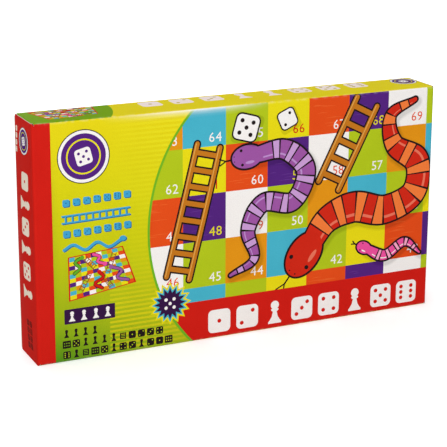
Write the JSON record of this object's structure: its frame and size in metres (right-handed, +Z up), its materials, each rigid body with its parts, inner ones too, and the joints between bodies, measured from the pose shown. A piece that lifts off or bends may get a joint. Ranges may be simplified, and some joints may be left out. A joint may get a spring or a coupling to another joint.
{
  "type": "boxed board game",
  "caption": "Flat tuck-end carton of printed card that holds a folded board game: board, die, pawns and leaflet. Both ends open on creases.",
  "frame": {"origin": "middle of the long narrow side that the carton stands on", "axes": "+X along the carton's length, -Y out of the cover, +Z up, with the carton standing on a long narrow side"},
  "size_m": [0.365, 0.044, 0.2],
  "materials": {
    "cover_card": "glossy laminated print",
    "back_card": "glossy laminated print",
    "closure_card": "glossy laminated print",
    "raw_card": "uncoated card",
    "insert_card": "uncoated card",
    "grey_board": "raw grey board",
    "board_print": "satin laminated print",
    "board_wrap": "matt printed paper",
    "tape_cloth": "woven book cloth",
    "pawn_red": "moulded, glossy",
    "pawn_yellow": "moulded, glossy",
    "pawn_green": "moulded, glossy",
    "pawn_blue": "moulded, glossy",
    "die_plastic": "moulded, glossy",
    "leaflet_paper": "uncoated paper"
  },
  "bodies": {
    "carton": {"front_panel": "cover_card", "back_panel": "back_card", "top_panel": "cover_card", "bottom_panel": "back_card", "glue_flap": "raw_card", "board_rear_half": "grey_board", "board_rear_print": "board_print", "board_rear_wrap": "board_wrap", "board_tape": "tape_cloth", "piece_insert": "insert_card", "pawn_red": "pawn_red", "pawn_yellow": "pawn_yellow", "pawn_green": "pawn_green", "pawn_blue": "pawn_blue", "die": "die_plastic", "leaflet": "leaflet_paper"},
    "left_closure": {"left_closure": "closure_card", "left_tongue": "raw_card"},
    "left_top_dust_flap": {"left_top_dust_flap": "raw_card"},
    "left_bottom_dust_flap": {"left_bottom_dust_flap": "raw_card"},
    "right_closure": {"right_closure": "closure_card", "right_tongue": "raw_card"},
    "right_top_dust_flap": {"right_top_dust_flap": "raw_card"},
    "right_bottom_dust_flap": {"right_bottom_dust_flap": "raw_card"},
    "board_front": {"board_front_half": "grey_board", "board_front_print": "board_print", "board_front_wrap": "board_wrap"}
  },
  "joints": [
    {"name": "left_closure_crease", "type": "hinge", "parent": "carton", "child": "left_closure", "pos_m": [-0.1825, -0.022, 0.1], "axis": [0, 0, 1], "range_deg": [0, 180]},
    {"name": "left_top_dust_flap_crease", "type": "hinge", "parent": "carton", "child": "left_top_dust_flap", "pos_m": [-0.1817, 0, 0.2], "axis": [0, 1, 0], "range_deg": [0, 90]},
    {"name": "left_bottom_dust_flap_crease", "type": "hinge", "parent": "carton", "child": "left_bottom_dust_flap", "pos_m": [-0.1817, 0, 0], "axis": [0, -1, 0], "range_deg": [0, 90]},
    {"name": "right_closure_crease", "type": "hinge", "parent": "carton", "child": "right_closure", "pos_m": [0.1825, -0.022, 0.1], "axis": [0, 0, -1], "range_deg": [0, 180]},
    {"name": "right_top_dust_flap_crease", "type": "hinge", "parent": "carton", "child": "right_top_dust_flap", "pos_m": [0.1817, 0, 0.2], "axis": [0, -1, 0], "range_deg": [0, 90]},
    {"name": "right_bottom_dust_flap_crease", "type": "hinge", "parent": "carton", "child": "right_bottom_dust_flap", "pos_m": [0.1817, 0, 0], "axis": [0, 1, 0], "range_deg": [0, 90]},
    {"name": "board_fold", "type": "hinge", "parent": "carton", "child": "board_front", "pos_m": [0, 0.01492, 0.1974], "axis": [-1, 0, 0], "range_deg": [0, 5]}
  ],
  "couplings": [
    {"joint": "left_top_dust_flap_crease", "follows": "left_closure_crease", "ratio": 0.5},
    {"joint": "left_bottom_dust_flap_crease", "follows": "left_closure_crease", "ratio": 0.5},
    {"joint": "right_top_dust_flap_crease", "follows": "right_closure_crease", "ratio": 0.5},
    {"joint": "right_bottom_dust_flap_crease", "follows": "right_closure_crease", "ratio": 0.5}
  ]
}
